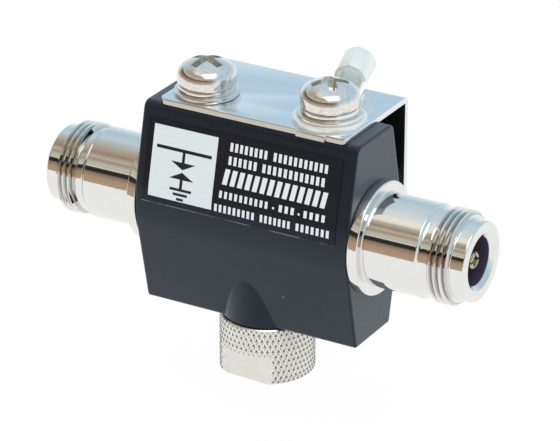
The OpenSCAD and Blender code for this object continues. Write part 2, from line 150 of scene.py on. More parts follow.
class Bench:
    """Modelling moves that the pieces share, made with Blender's own operators."""

    @staticmethod
    def leave() -> None:
        """Goes back to object mode."""
        bpy.ops.object.mode_set(mode="OBJECT")

    @staticmethod
    def enter() -> None:
        """Goes into edit mode with everything selected."""
        bpy.ops.object.mode_set(mode="EDIT")
        bpy.ops.mesh.select_all(action="SELECT")

    @staticmethod
    def clear() -> None:
        """Leaves edit mode and deselects every object."""
        if bpy.context.object is not None and bpy.context.object.mode != "OBJECT":
            Bench.leave()
        bpy.ops.object.select_all(action="DESELECT")

    @staticmethod
    def pick(piece: Piece) -> None:
        """Selects one piece alone and makes it active.

        Args:
            piece: The piece.
        """
        Bench.clear()
        piece.select_set(True)
        bpy.context.view_layer.objects.active = piece

    @staticmethod
    def settle(piece: Piece, place: Sequence[float] = (0.0, 0.0, 0.0)) -> None:
        """Moves a piece and puts its place into its mesh.

        Args:
            piece: The piece.
            place: How far it moves, in millimetres.
        """
        piece.location += Vector(place) * MM
        Bench.pick(piece)
        bpy.ops.object.transform_apply(location=True, rotation=True, scale=True)

    @staticmethod
    def seal(piece: Piece) -> None:
        """Merges doubled points and turns the faces outwards.

        Args:
            piece: The piece.
        """
        Bench.pick(piece)
        Bench.enter()
        bpy.ops.mesh.remove_doubles(threshold=MERGE_GAP * MM)
        bpy.ops.mesh.normals_make_consistent(inside=False)
        Bench.leave()

    @staticmethod
    def smooth(piece: Piece, degrees: float = CREASE_DEGREES) -> None:
        """Shades a piece smooth, with creases where faces meet at more than an angle."""
        Bench.pick(piece)
        bpy.ops.object.shade_smooth_by_angle(angle=math.radians(degrees))

    @staticmethod
    def copy(piece: Piece, name: str) -> Piece:
        """Copies a piece with a mesh of its own.

        Args:
            piece: The piece.
            name: The copy's name.

        Returns:
            The copy.
        """
        other = bpy.data.objects.new(name, piece.data.copy())
        bpy.context.scene.collection.objects.link(other)
        return other

    @staticmethod
    def rounded(outline: Outline) -> list[Span]:
        """Rounds the corners of an outline.

        Args:
            outline: Points as distance out, distance along and corner radius.

        Returns:
            The points of the rounded outline.
        """
        points: list[Span] = []
        last = len(outline) - 1
        for index, (out, along, radius) in enumerate(outline):
            if radius <= 0.0 or index in (0, last):
                points.append((out, along))
                continue
            corner = Vector((out, along))
            before = (Vector(outline[index - 1][:2]) - corner).normalized()
            after = (Vector(outline[index + 1][:2]) - corner).normalized()
            half = before.angle(after) / 2.0
            centre = corner + (before + after).normalized() * radius / math.sin(half)
            first = corner + before * radius / math.tan(half) - centre
            final = corner + after * radius / math.tan(half) - centre
            for step in range(CORNER_STEPS + 1):
                turn = first.lerp(final, step / CORNER_STEPS).normalized() * radius
                points.append(tuple(centre + turn))
        return points

    @staticmethod
    def trace(name: str, places: Sequence[Vector]) -> Piece:
        """Draws a line of edges by extruding one point, and leaves it in edit mode.

        Args:
            name: The piece's name.
            places: The points in metres.

        Returns:
            The piece, in edit mode with everything selected.
        """
        Bench.clear()
        bpy.ops.mesh.primitive_plane_add(size=MM, location=places[0], enter_editmode=True)
        bpy.ops.mesh.select_mode(type="VERT")
        bpy.ops.mesh.select_all(action="SELECT")
        bpy.ops.mesh.merge(type="CENTER")
        for here, there in zip(places, places[1:]):
            bpy.ops.mesh.extrude_region_move(TRANSFORM_OT_translate={"value": there - here})
        bpy.ops.mesh.select_all(action="SELECT")
        piece = bpy.context.object
        piece.name = name
        return piece

    @staticmethod
    def turned(name: str, outline: Outline, spindle: Spindle, steps: int = TURN_STEPS) -> Piece:
        """Turns an outline about a spindle, as in a lathe.

        Args:
            name: The piece's name.
            outline: Points as distance out, distance along and corner radius.
            spindle: The axis.
            steps: Steps round the axis.

        Returns:
            The turned piece.
        """
        places = [spindle.place(out, along) for out, along in Bench.rounded(outline)]
        piece = Bench.trace(name, places)
        bpy.ops.mesh.spin(steps=steps, angle=2.0 * math.pi, center=(0.0, 0.0, 0.0), axis=spindle.way())
        Bench.leave()
        Bench.settle(piece, spindle.centre)
        Bench.seal(piece)
        return piece

    @staticmethod
    def block(name: str, size: Sequence[float], place: Sequence[float], turn: float) -> Piece:
        """Makes a plain block.

        Args:
            name: The piece's name.
            size: Its lengths along X, Y and Z, in millimetres.
            place: Its middle, in millimetres.
            turn: Its turn about Z, in degrees.

        Returns:
            The block.
        """
        Bench.clear()
        bpy.ops.mesh.primitive_cube_add(size=1.0, location=Vector(place) * MM)
        piece = bpy.context.object
        piece.name = name
        piece.scale = Vector(size) * MM
        piece.rotation_euler.z = math.radians(turn)
        Bench.settle(piece)
        return piece

    @staticmethod
    def choose(piece: Piece, kind: Kind, test: Callable[[Any], bool]) -> None:
        """Selects the edges or faces that pass a test, and leaves the piece in edit mode.

        Args:
            piece: The active piece.
            kind: What is selected.
            test: The test of one edge or face.
        """
        mode, items = kind.value
        bpy.ops.object.mode_set(mode="EDIT")
        bpy.ops.mesh.select_mode(type=mode)
        bpy.ops.mesh.select_all(action="DESELECT")
        Bench.leave()
        for item in getattr(piece.data, items):
            item.select = test(item)
        bpy.ops.object.mode_set(mode="EDIT")

    @staticmethod
    def fit(piece: Piece, other: Piece, how: Join) -> None:
        """Adds, cuts or keeps one solid by another, which is used up.

        Args:
            piece: The solid that stays.
            other: The solid that is used up.
            how: What is done.
        """
        Bench.pick(piece)
        step = piece.modifiers.new("fitting", "BOOLEAN")
        step.operation = how.value
        step.solver = "EXACT"
        step.object = other
        bpy.ops.object.modifier_apply(modifier=step.name)
        bpy.data.objects.remove(other, do_unlink=True)

    @staticmethod
    def eased(piece: Piece, width: float) -> None:
        """Rounds a piece's sharp edges with a bevel.

        Args:
            piece: The piece.
            width: Width of the bevel, in millimetres.
        """
        Bench.pick(piece)
        step = piece.modifiers.new("edges", "BEVEL")
        step.width = width * MM
        step.segments = 2
        step.limit_method = "ANGLE"
        step.angle_limit = math.radians(SHARP_DEGREES)
        step.miter_outer = "MITER_ARC"
        bpy.ops.object.modifier_apply(modifier=step.name)

    @staticmethod
    def twin(node: Piece, name: str) -> Piece:
        """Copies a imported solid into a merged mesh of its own.

        Args:
            node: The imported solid's object.
            name: The copy's name.

        Returns:
            The copy.
        """
        piece = Bench.copy(node, name)
        Bench.pick(piece)
        bpy.ops.mesh.customdata_custom_splitnormals_clear()
        Bench.seal(piece)
        Bench.enter()
        bpy.ops.mesh.dissolve_limited(angle_limit=math.radians(FLAT_DEGREES))
        Bench.leave()
        return piece


@dataclass(frozen=True)
class Thread:
    """A right-hand thread on a turned core, in millimetres.

    Attributes:
        root: Radius at the ridge's root.
        crest: Radius at its crest.
        end_r: Radius that the thread runs out to at both ends.
        pitch: Advance for each turn.
        turns: Number of turns.
        span: Both ends of the threaded stretch along the axis.
        lead: Where the winding starts, from the stretch's lower end.
        runs: Where the thread begins and is full, from the stretch's lower end, and where it is full
            for the last time and ends, from the stretch's upper end.
    """

    root: float
    crest: float
    end_r: float
    pitch: float
    turns: int
    span: Span
    lead: float
    runs: Runs

    def ridge(self, spindle: Spindle) -> Piece:
        """Winds the ridge round a spindle.

        Args:
            spindle: The axis.

        Returns:
            The ridge, as one closed mesh.
        """
        sunk = self.root - RIDGE_SUNK
        start = self.span[0] + self.lead
        section = [
            (sunk, -RIDGE_FOOT),
            (self.root, -RIDGE_FOOT),
            (self.crest, -RIDGE_CREST),
            (self.crest, RIDGE_CREST),
            (self.root, RIDGE_FOOT),
            (sunk, RIDGE_FOOT),
            (sunk, -RIDGE_FOOT),
        ]
        places = [spindle.place(out, start + along * self.pitch) for out, along in section]
        piece = Bench.trace("thread_ridge", places)
        bpy.ops.mesh.remove_doubles(threshold=MERGE_GAP * MM)
        Bench.leave()
        Bench.settle(piece)
        screw = piece.modifiers.new("winding", "SCREW")
        screw.axis = spindle.lie.value
        screw.angle = 2.0 * math.pi
        screw.screw_offset = self.pitch * MM
        screw.iterations = self.turns
        screw.steps = RIDGE_STEPS
        screw.render_steps = RIDGE_STEPS
        bpy.ops.object.modifier_apply(modifier=screw.name)
        Bench.enter()
        bpy.ops.mesh.fill_holes(sides=0)
        Bench.leave()
        piece.rotation_euler = spindle.way() * RIDGE_LEAD
        Bench.settle(piece, spindle.centre)
        Bench.seal(piece)
        return piece

    def wind(self, core: Piece, spindle: Spindle, steps: int = TURN_STEPS) -> None:
        """Adds the thread to a core, with both ends run out.

        Args:
            core: The turned core.
            spindle: The axis.
            steps: Steps round the axis.
        """
        low, high = self.span
        begin, full = (low + run for run in self.runs[:2])
        last, end = (high + run for run in self.runs[2:])
        ridge = self.ridge(spindle)
        outline = [
            (0.0, begin, 0.0),
            (self.end_r, begin, 0.0),
            (self.crest, full, 0.0),
            (self.crest, last, 0.0),
            (self.end_r, end, 0.0),
            (0.0, end, 0.0),
        ]
        room = Bench.turned("thread_room", outline, spindle, steps)
        Bench.fit(ridge, room, Join.KEEP)
        Bench.fit(core, ridge, Join.ADD)


class Tree:
    """A node tree with short calls that add and join its nodes."""

    def __init__(self, tree: bpy.types.NodeTree) -> None:
        """Keeps the tree."""
        self.tree = tree

    def add(self, kind: str, sockets: dict[Any, Any] | None = None, **settings: Any) -> bpy.types.Node:
        """Adds a node.

        Args:
            kind: The node's type, without its ShaderNode prefix.
            sockets: Values or other sockets for its inputs, by name or number.
            **settings: Properties of the node.

        Returns:
            The node.
        """
        node = self.tree.nodes.new("ShaderNode" + kind)
        for key, value in settings.items():
            setattr(node, key, value)
        for key, value in (sockets or {}).items():
            self.feed(node, key, value)
        return node

    def feed(self, node: bpy.types.Node, key: Any, value: Any) -> None:
        """Joins a socket to a node's input, or sets the input's value.

        Args:
            node: The node.
            key: The input's name or number.
            value: The socket or the value.
        """
        if isinstance(value, Socket):
            self.tree.links.new(value, node.inputs[key])
        else:
            node.inputs[key].default_value = value

    def math(self, operation: str, first: Any, second: Any = 0.0) -> Socket:
        """Adds a calculation with one or two values and gives its result."""
        return self.add("Math", {0: first, 1: second}, operation=operation).outputs[0]

    def times(self, first: Any, second: Any) -> Socket:
        """Adds a product of two values and gives its result."""
        return self.math("MULTIPLY", first, second)

    def mix(self, share: Any, first: Any, second: Any) -> Socket:
        """Adds a mix of two colours and gives its result."""
        first, second = (value if isinstance(value, Socket) else (*value, 1.0) for value in (first, second))
        return self.add("Mix", {0: share, 6: first, 7: second}, data_type="RGBA").outputs[2]

    def spread(self, value: Any, low: float, high: float, to_low: float, to_high: float) -> Socket:
        """Adds a clamped change of range and gives its result."""
        return self.add("MapRange", {0: value, 1: low, 2: high, 3: to_low, 4: to_high}).outputs[0]

    def part(self, vector: Socket, axis: int) -> Socket:
        """Gives one of a vector's three parts."""
        return self.add("SeparateXYZ", {0: vector}).outputs[axis]

    def reach(self, place: Socket, across: Triple) -> Socket:
        """Gives a place's distance from an axis, with ones for the directions across the axis."""
        flat = self.add("VectorMath", {0: place, 1: across}, operation="MULTIPLY").outputs[0]
        return self.add("VectorMath", {0: flat}, operation="LENGTH").outputs["Value"]


class Skin(Tree):
    """A material's tree, with its shader and the Object coordinates."""

    def __init__(self, name: str) -> None:
        """Starts the material.

        Args:
            name: The material's name.
        """
        material = bpy.data.materials.new(name)
        material.use_nodes = True
        super().__init__(material.node_tree)
        self.shader = self.tree.nodes["Principled BSDF"]
        self.place = self.add("TexCoord").outputs["Object"]

    def give(self, name: str, value: Any) -> None:
        """Sets or joins one of the shader's inputs."""
        self.feed(self.shader, name, value)

    def noise(self, scale: float, detail: float) -> Socket:
        """Adds a noise over the piece and gives its result."""
        return self.add("TexNoise", {"Vector": self.place, "Scale": scale, "Detail": detail}).outputs[0]

    def looks(self, axis: int) -> Socket:
        """Gives how far the surface looks along an axis, from -1 to 1."""
        return self.part(self.add("TexCoord").outputs["Normal"], axis)


class Effect:
    """Shared surface effects, each a node group that is built once.

    Attributes:
        patch_range: The part of a noise's range that the patches use.
        speck_edge: Distances from a cell's middle between which a speck ends, in cells.
    """

    patch_range: Span = (0.3, 0.7)
    speck_edge: Span = (0.06, 0.16)

    @staticmethod
    def _group(
        name: str, inputs: dict[str, str], output: str, draw: Callable[[Tree, Any], Socket]
    ) -> bpy.types.NodeTree:
        """Gives a node group, and builds it where it doesn't exist yet.

        Args:
            name: The group's name.
            inputs: The kind of each input, by its name.
            output: The output's name.
            draw: Adds the nodes, from a tree and the inputs, and gives the result.

        Returns:
            The group.
        """
        if name not in bpy.data.node_groups:
            group = bpy.data.node_groups.new(name, "ShaderNodeTree")
            for label, kind in inputs.items():
                group.interface.new_socket(label, in_out="INPUT", socket_type="NodeSocket" + kind)
            group.interface.new_socket(output, in_out="OUTPUT", socket_type="NodeSocketFloat")
            start, end = group.nodes.new("NodeGroupInput"), group.nodes.new("NodeGroupOutput")
            group.links.new(draw(Tree(group), start.outputs), end.inputs[0])
        return bpy.data.node_groups[name]

    @staticmethod
    def mottle() -> bpy.types.NodeTree:
        """Builds soft, uneven patches, as in a plated or handled surface.

        Returns:
            The group.
        """

        def draw(tree: Tree, given: Any) -> Socket:
            """Spreads a noise over its middle range."""
            sockets = {"Vector": given[0], "Scale": given[1], "Detail": given[2], "Roughness": 0.6}
            return tree.spread(tree.add("TexNoise", sockets).outputs[0], *Effect.patch_range, 0.0, 1.0)

        inputs = {"Place": "Vector", "Scale": "Float", "Detail": "Float"}
        return Effect._group("mottle", inputs, "Amount", draw)

    @staticmethod
    def drawn_lines() -> bpy.types.NodeTree:
        """Builds fine lines that run across one direction, as left by a tool or a brush.

        Returns:
            The group.
        """

        def draw(tree: Tree, given: Any) -> Socket:
            """Stretches a noise.

            Args:
                tree: The group's tree.
                given: The group's inputs.

            Returns:
                The height.
            """
            spot = tree.add("VectorMath", {0: given[0], 1: given[1]}, operation="MULTIPLY").outputs[0]
            sockets = {"Vector": spot, "Scale": 1.0, "Detail": 3.0, "Roughness": 0.65}
            return tree.add("TexNoise", sockets).outputs[0]

        return Effect._group("drawn_lines", {"Place": "Vector", "Stretch": "Vector"}, "Height", draw)

    @staticmethod
    def specks() -> bpy.types.NodeTree:
        """Builds small scattered specks, as dust or pits.

        Returns:
            The group.
        """

        def draw(tree: Tree, given: Any) -> Socket:
            """Keeps a dot in a share of the cells.

            Args:
                tree: The group's tree.
                given: The group's inputs.

            Returns:
                The mask.
            """
            cells = tree.add("TexVoronoi", {"Vector": given[0], "Scale": given[1]}).outputs
            near = tree.spread(cells["Distance"], *Effect.speck_edge, 1.0, 0.0)
            pick = tree.add("SeparateColor", {0: cells["Color"]}).outputs[0]
            return tree.times(near, tree.math("LESS_THAN", pick, given[2]))

        inputs = {"Place": "Vector", "Scale": "Float", "Share": "Float"}
        return Effect._group("specks", inputs, "Mask", draw)

    @staticmethod
    def print_bar() -> bpy.types.NodeTree:
        """Builds one printed bar, which can lean, taper or break into even strokes.

        Returns:
            The group.
        """

        def draw(tree: Tree, given: Any) -> Socket:
            """Masks the bar's width, height and strokes.

            Args:
                tree: The group's tree.
                given: The group's inputs.

            Returns:
                The mask.
            """
            up = tree.math("SUBTRACT", tree.part(given["Place"], 2), given["Middle Z"])
            level = tree.math("SUBTRACT", tree.part(given["Place"], 0), given["Middle X"])
            level = tree.math("SUBTRACT", level, tree.times(up, given["Lean"]))
            rise = tree.math("DIVIDE", up, given["Half height"])
            wide = tree.math("ADD", tree.times(rise, given["Taper"]), 1.0)
            wide = tree.times(wide, given["Half width"])
            inside = tree.math("LESS_THAN", tree.math("ABSOLUTE", level), wide)
            tall = tree.math("LESS_THAN", tree.math("ABSOLUTE", up), given["Half height"])
            stroke = tree.math("ADD", level, given["Half width"])
            stroke = tree.math("FRACT", tree.math("DIVIDE", stroke, given["Stroke"]))
            solid = tree.math("LESS_THAN", stroke, tree.math("SUBTRACT", 1.0, given["Gap"]))
            return tree.times(tree.times(inside, tall), solid)

        numbers = ("Middle X", "Middle Z", "Half width", "Half height", "Lean", "Taper", "Stroke", "Gap")
        inputs = {"Place": "Vector", **dict.fromkeys(numbers, "Float")}
        return Effect._group("print_bar", inputs, "Mask", draw)


@dataclass(frozen=True)
class Finish:
    """A surface finish that is built as one material, here a moulded or fired one.

    Attributes:
        slot: The part's material slot that it finishes.
        tint: Main colour.
        second: Colour of its uneven patches.
        rough: Lowest and highest roughness.
        patch: Number of patches in a metre.
        bump: Depth of the relief, in millimetres.
    """

    slot: str
    tint: Colour
    second: Colour
    rough: Span = (0.3, 0.4)
    patch: float = 300.0
    bump: float = 0.01

    def material(self) -> bpy.types.Material:
        """Gives the material, and builds it where it doesn't exist yet.

        Returns:
            The material.
        """
        name = self.slot + "_finish"
        if name not in bpy.data.materials:
            self.cover(Skin(name))
        return bpy.data.materials[name]

    def patches(self, skin: Skin) -> Socket:
        """Gives the colour and the roughness their uneven patches.

        Args:
            skin: The material's tree.

        Returns:
            The colour's socket.
        """
        sockets = {"Place": skin.place, "Scale": self.patch, "Detail": 4.0}
        uneven = skin.add("Group", sockets, node_tree=Effect.mottle()).outputs[0]
        skin.give("Roughness", skin.spread(uneven, 0.0, 1.0, *self.rough))
        return skin.mix(uneven, self.tint, self.second)

    def relief(self, skin: Skin, height: Socket) -> None:
        """Gives the surface its relief from a height."""
        sockets = {"Strength": 1.0, "Distance": self.bump * MM, "Height": height}
        skin.give("Normal", skin.add("Bump", sockets).outputs[0])

    def cover(self, skin: Skin) -> None:
        """Builds patches and a fine grain."""
        skin.give("Base Color", self.patches(skin))
        self.relief(skin, skin.noise(self.patch * GRAIN_FINENESS, detail=2.0))


@dataclass(frozen=True)
class Metal(Finish):
    """Bare or plated metal with fine tool lines.

    Attributes:
        lines: How often the tool lines change along X, Y and Z, per metre.
        metallic: How metallic it looks; a dull plating looks less so.
    """

    lines: Triple = (2500.0, 40.0, 40.0)
    metallic: float = 1.0

    def colour(self, skin: Skin) -> Socket:
        """Gives the metal's colour."""
        return self.patches(skin)

    def cover(self, skin: Skin) -> None:
        """Builds the metal.

        Args:
            skin: The material's tree.
        """
        skin.give("Metallic", self.metallic)
        skin.give("Base Color", self.colour(skin))
        sockets = {"Place": skin.place, "Stretch": self.lines}
        self.relief(skin, skin.add("Group", sockets, node_tree=Effect.drawn_lines()).outputs[0])


@dataclass(frozen=True)
class BoredMetal(Metal):
    """Turned metal whose bore is painted dark and dull as painted shade, with painted shade between its
    thread's ridges.

    Attributes:
        bore: Radii between which the bore's painted shade ends, in millimetres.
        ridges: Radii between which the painted shade between the thread's ridges ends, in millimetres.
        thread: Where the thread starts and ends along the line, in millimetres.
        dark: Colour of the painted shade in the bore.
        painted_shade: Colour of the painted shade between the thread's ridges.
        root_shade: Share of the painted shade at the thread's root.
    """

    bore: Span = (4.08, 4.17)
    ridges: Span = (7.25, 7.8375)
    thread: Span = (33.3, 37.0)
    dark: Colour = (0.06, 0.055, 0.085)
    painted_shade: Colour = (0.1, 0.075, 0.06)
    root_shade: float = 0.45

    def colour(self, skin: Skin) -> Socket:
        """Gives the metal's colour, with painted shade inside the bore and between the thread's ridges.

        Args:
            skin: The material's tree.

        Returns:
            The colour's socket.
        """
        sockets = {0: skin.place, 1: (0.0, 0.0, AXIS_Z * MM)}
        offset = skin.add("VectorMath", sockets, operation="SUBTRACT").outputs[0]
        out = skin.reach(offset, (0.0, 1.0, 1.0))
        # Painted shade: the bore's wall turns dark and loses its metal look.
        inside = skin.spread(out, self.bore[0] * MM, self.bore[1] * MM, 1.0, 0.0)
        along = skin.math("ABSOLUTE", skin.part(skin.place, 0))
        after = skin.math("GREATER_THAN", along, self.thread[0] * MM)
        ridged = skin.times(after, skin.math("LESS_THAN", along, self.thread[1] * MM))
        # Painted shade between the thread's ridges, strongest at the root.
        deep = skin.spread(out, self.ridges[0] * MM, self.ridges[1] * MM, self.root_shade, 0.0)
        root_shade = skin.mix(skin.times(ridged, deep), self.patches(skin), self.painted_shade)
        skin.give("Metallic", skin.spread(inside, 0.0, 1.0, self.metallic, 0.0))
        return skin.mix(inside, root_shade, self.dark)


@dataclass(frozen=True)
class SheetMetal(Metal):
    """Polished sheet whose sheared front edge is duller and warmer.

    Attributes:
        edge: Colour of the sheared edge.
        front: How far a face looks along Y where it is wholly, and no longer, the edge.
    """

    edge: Colour = (0.58, 0.54, 0.49)
    front: Span = (-0.8, -0.45)

    def colour(self, skin: Skin) -> Socket:
        """Gives the sheet's colour, with the edge's where a face looks to the front."""
        sheared = skin.spread(skin.looks(1), *self.front, 1.0, 0.0)
        return skin.mix(sheared, self.patches(skin), self.edge)


@dataclass(frozen=True)
class KnurledMetal(Metal):
    """Plated metal with a knurl, whose facets that look up are painted pale and dull as painted light, with
    painted shade near their crests.

    Attributes:
        inner_r: Radius inside which there is no knurl, in millimetres.
        top: Height of the knurl's upper end, in millimetres.
        crests: Radii between which the painted shade begins, in millimetres.
        upward: How far a facet looks up where it begins to count, and counts in full.
        bright: Colour of the painted light on the facets that look up, in the grooves.
        painted_shade: Colour of the painted shade on those facets near the crests.
        dull: How metallic the facets that look up are.
    """

    inner_r: float = 7.6
    top: float = 10.0
    crests: Span = (7.88, 7.98)
    upward: Span = (0.05, 0.2)
    bright: Colour = (0.96, 0.95, 0.91)
    painted_shade: Colour = (0.1, 0.1, 0.075)
    dull: float = 0.1

    def colour(self, skin: Skin) -> Socket:
        """Gives the metal's colour, with painted light on the knurl's upper facets and painted shade near
        their crests.

        Args:
            skin: The material's tree.

        Returns:
            The colour's socket.
        """
        out = skin.reach(skin.place, (1.0, 1.0, 0.0))
        outer = skin.math("GREATER_THAN", out, self.inner_r * MM)
        knurled = skin.times(outer, skin.math("LESS_THAN", skin.part(skin.place, 2), self.top * MM))
        # Painted light: facets that look up turn pale and lose their metal look.
        share = skin.times(skin.spread(skin.looks(2), *self.upward, 0.0, 1.0), knurled)
        # Painted shade on those facets near the knurl's crests.
        high = skin.spread(out, self.crests[0] * MM, self.crests[1] * MM, 0.0, 1.0)
        skin.give("Metallic", skin.spread(share, 0.0, 1.0, self.metallic, self.dull))
        pale = skin.mix(share, self.patches(skin), self.bright)
        return skin.mix(skin.times(share, high), pale, self.painted_shade)


@dataclass(frozen=True)
class CastPaint(Finish):
    """Paint on a die-casting, with a fine orange peel, a few specks and a painted sheen where it is seen at
    a slant.

    Attributes:
        dust: Colour of the specks.
        dust_scale: Number of places for a speck in a metre.
        dust_share: Share of those places that have one.
        dust_cover: How far a speck hides the paint.
        painted_sheen: Colour of a painted sheen, which the paint takes on where it is seen at a slant.
        painted_sheen_share: How far it takes that colour on.
        painted_sheen_power: How late it does so.
        gloss: Strength of its shine.
        gloss_tint: Colour of its shine.
        peel: Number of bumps in a metre.
    """

    dust: Colour = (0.55, 0.57, 0.6)
    dust_scale: float = 420.0
    dust_share: float = 0.012
    dust_cover: float = 0.5
    painted_sheen: Colour = (0.38, 0.47, 0.56)
    painted_sheen_share: float = 0.33
    painted_sheen_power: float = 2.0
    gloss: float = 0.31
    gloss_tint: Colour = (0.78, 0.9, 1.0)
    peel: float = 1400.0

    def cover(self, skin: Skin) -> None:
        """Builds the paint.

        Args:
            skin: The material's tree.
        """
        colour = self.patches(skin)
        sockets = {"Place": skin.place, "Scale": self.dust_scale, "Share": self.dust_share}
        specks = skin.add("Group", sockets, node_tree=Effect.specks()).outputs[0]
        colour = skin.mix(skin.times(specks, self.dust_cover), colour, self.dust)
        # Painted sheen: the paint turns lighter and bluer where it is seen at a slant.
        facing = skin.add("LayerWeight", {"Blend": 0.5}).outputs["Facing"]
        painted_sheen = skin.times(skin.math("POWER", facing, self.painted_sheen_power), self.painted_sheen_share)
        skin.give("Base Color", skin.mix(painted_sheen, colour, self.painted_sheen))
        skin.give("Specular IOR Level", self.gloss)
        skin.give("Specular Tint", (*self.gloss_tint, 1.0))
        self.relief(skin, skin.noise(self.peel, detail=1.0))


@dataclass(frozen=True)
class Bar:
    """One printed bar of the label, in millimetres from the jack axis.

    Attributes:
        left: Its left end.
        right: Its right end.
        middle: Its height.
        tall: How tall it is.
        lean: Sideways lean for each millimetre of height.
        taper: How its width changes upwards, from -1 to 1.
        strokes: Number of strokes that it breaks into.
        gap: Share of a stroke's length that is left bare after it.
    """

    left: float
    right: float
    middle: float
    tall: float
    lean: float = 0.0
    taper: float = 0.0
    strokes: int = 1
    gap: float = 0.0

    @staticmethod
    def row(middle: float, tall: float, gap: float, *runs: tuple[float, float, int]) -> tuple[Bar, ...]:
        """Gives a row of upright bars that break into strokes.

        Args:
            middle: The row's height.
            tall: How tall it is.
            gap: Share of a stroke's length that is left bare after it.
            *runs: Each bar's left end, right end and number of strokes.

        Returns:
            The bars.
        """
        return tuple(Bar(left, right, middle, tall, strokes=count, gap=gap) for left, right, count in runs)


@dataclass(frozen=True)
class PrintedFilm(Finish):
    """The label's film: a plain field with a schematic sign, rows of plain bars, and a painted highlight
    along its lower edge.

    Attributes:
        field: The pale field.
        rows: The rows of bars.
        sign: The sign on the field.
        pale: Colour of the field.
        ink: Colour of the sign.
        white: Colour of the rows.
        edge_highlight: Colour of the painted highlight along the lower edge.
        edge: Heights over the jack axis between which the painted highlight ends, in millimetres.
        highlight_spots: Number of patches of the painted highlight in a metre.
        highlight_range: The part of a noise's range that makes the painted highlight.
        highlight_share: Least and most share of the painted highlight.
        gloss: Strength of its shine.
        gloss_tint: Colour of its shine.
        grain: Number of grains in a metre.
    """

    field: Bar = Bar(-17.4, -5.25, 8.55, 11.9)
    rows: tuple[Bar, ...] = (
        *Bar.row(13.45, 1.4, 0.42, (-2.9, 4.0, 8), (5.2, 15.2, 11)),
        *Bar.row(11.25, 1.4, 0.42, (-2.95, 2.3, 6), (3.4, 14.9, 12)),
        Bar(-3.5, 15.6, 8.5, 2.6, 0.16, 0.0, 14, 0.36),
        *Bar.row(5.55, 1.15, 0.46, (-4.0, 5.1, 10), (7.2, 10.0, 3), (11.8, 15.7, 4)),
        *Bar.row(5.35, 0.35, 0.0, (6.0, 6.35, 1), (10.75, 11.1, 1)),
        *Bar.row(3.2, 1.25, 0.44, (-4.7, 2.8, 9), (3.9, 9.5, 7), (10.6, 16.7, 7)),
    )
    sign: tuple[Bar, ...] = (
        Bar(-16.6, -6.1, 11.0, 0.55),
        Bar(-11.6, -11.05, 10.0, 2.0),
        Bar(-12.5, -10.15, 8.5, 1.2, 0.0, 1.0),
        Bar(-12.5, -10.15, 6.9, 1.2, 0.0, -1.0),
        Bar(-11.6, -11.05, 5.5, 1.9),
        Bar(-13.4, -9.25, 4.6, 0.45),
        Bar(-12.7, -9.95, 3.8, 0.45),
        Bar(-12.0, -10.65, 3.0, 0.45),
    )
    pale: Colour = (0.67, 0.72, 0.74)
    ink: Colour = (0.014, 0.015, 0.02)
    white: Colour = (0.72, 0.75, 0.76)
    edge_highlight: Colour = (0.45, 0.46, 0.48)
    edge: Span = (1.5, 1.65)
    highlight_spots: float = 260.0
    highlight_range: Span = (0.38, 0.54)
    highlight_share: Span = (0.03, 0.3)
    gloss: float = 0.3
    gloss_tint: Colour = (0.74, 0.88, 1.0)
    grain: float = 900.0

    @staticmethod
    def bars(skin: Skin, several: Sequence[Bar]) -> Socket:
        """Adds several bars and gives the mask of them all.

        Args:
            skin: The material's tree.
            several: The bars.

        Returns:
            The mask.
        """
        mask = None
        for bar in several:
            wide = bar.right - bar.left
            sockets = {
                "Place": skin.place,
                "Middle X": (bar.left + bar.right) / 2.0 * MM,
                "Middle Z": (AXIS_Z + bar.middle) * MM,
                "Half width": wide / 2.0 * MM,
                "Half height": bar.tall / 2.0 * MM,
                "Lean": bar.lean,
                "Taper": bar.taper,
                "Stroke": wide / (bar.strokes - bar.gap) * MM,
                "Gap": bar.gap,
            }
            one = skin.add("Group", sockets, node_tree=Effect.print_bar()).outputs[0]
            mask = one if mask is None else skin.math("MAXIMUM", mask, one)
        return mask

    def cover(self, skin: Skin) -> None:
        """Builds the printed film, with a painted highlight along its lower edge.

        Args:
            skin: The material's tree.
        """
        colour = self.patches(skin)
        for several, tint in (((self.field,), self.pale), (self.sign, self.ink), (self.rows, self.white)):
            colour = skin.mix(self.bars(skin, several), colour, tint)
        # Painted highlight in light patches along the film's lower edge.
        low, high = ((AXIS_Z + height) * MM for height in self.edge)
        edge = skin.spread(skin.part(skin.place, 2), low, high, 1.0, 0.0)
        highlight_spots = skin.spread(skin.noise(self.highlight_spots, detail=3.0), *self.highlight_range, *self.highlight_share)
        skin.give("Base Color", skin.mix(skin.times(edge, highlight_spots), colour, self.edge_highlight))
        skin.give("Specular IOR Level", self.gloss)
        skin.give("Specular Tint", (*self.gloss_tint, 1.0))
        self.relief(skin, skin.noise(self.grain, detail=1.0))


